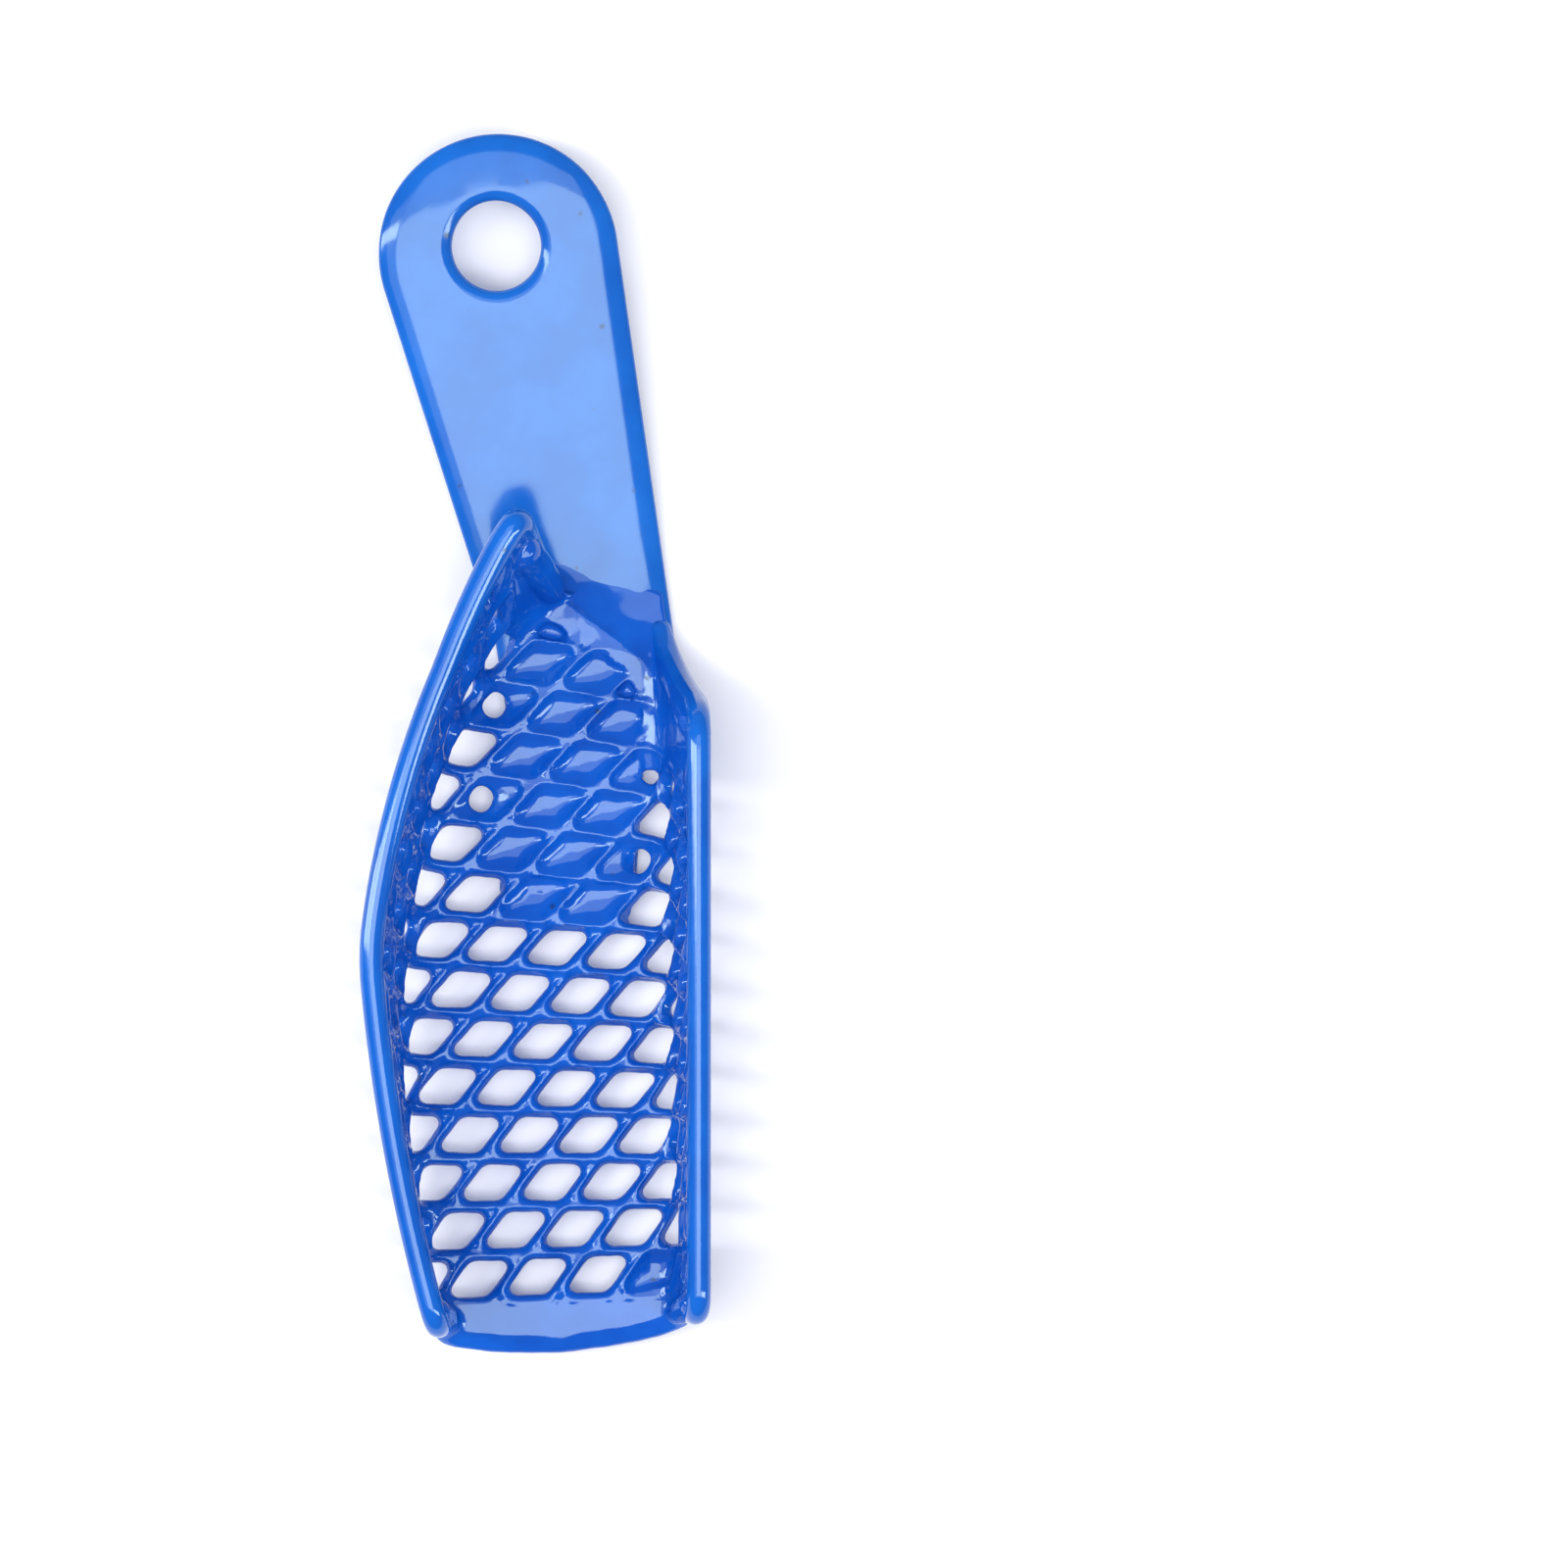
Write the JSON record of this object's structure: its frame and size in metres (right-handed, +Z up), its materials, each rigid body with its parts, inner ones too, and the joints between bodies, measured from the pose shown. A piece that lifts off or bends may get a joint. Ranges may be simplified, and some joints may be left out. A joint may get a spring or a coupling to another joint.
{
  "type": "dental impression tray",
  "caption": "Quadrant impression tray: a curved expanded-metal trough with beaded rims on a flat rising handle with a hanging hole, dip coated in glossy blue.",
  "frame": {"origin": "middle of the tray's bounding box seen from above, on the plane it lies on", "axes": "+Z up out of the trough, +Y along the length towards the handle's round end, +X towards the lingual (straight) wall"},
  "size_m": [0.0292, 0.1032, 0.0162],
  "materials": {
    "coated_mesh": "gloss",
    "blue_coat": "gloss",
    "steel": "satin"
  },
  "bodies": {
    "root": {"floor_mesh": "coated_mesh", "buccal_wall_mesh": "coated_mesh", "lingual_wall_mesh": "coated_mesh", "distal_strip": "coated_mesh", "mesial_strip": "coated_mesh", "handle_plate": "steel", "handle_coat": "blue_coat", "step_fillet": "blue_coat", "cell_webs": "blue_coat", "spot_welds": "steel", "buccal_rim_wire": "steel", "buccal_rim_coat": "blue_coat", "lingual_rim_wire": "steel", "lingual_rim_coat": "blue_coat"}
  },
  "joints": []
}
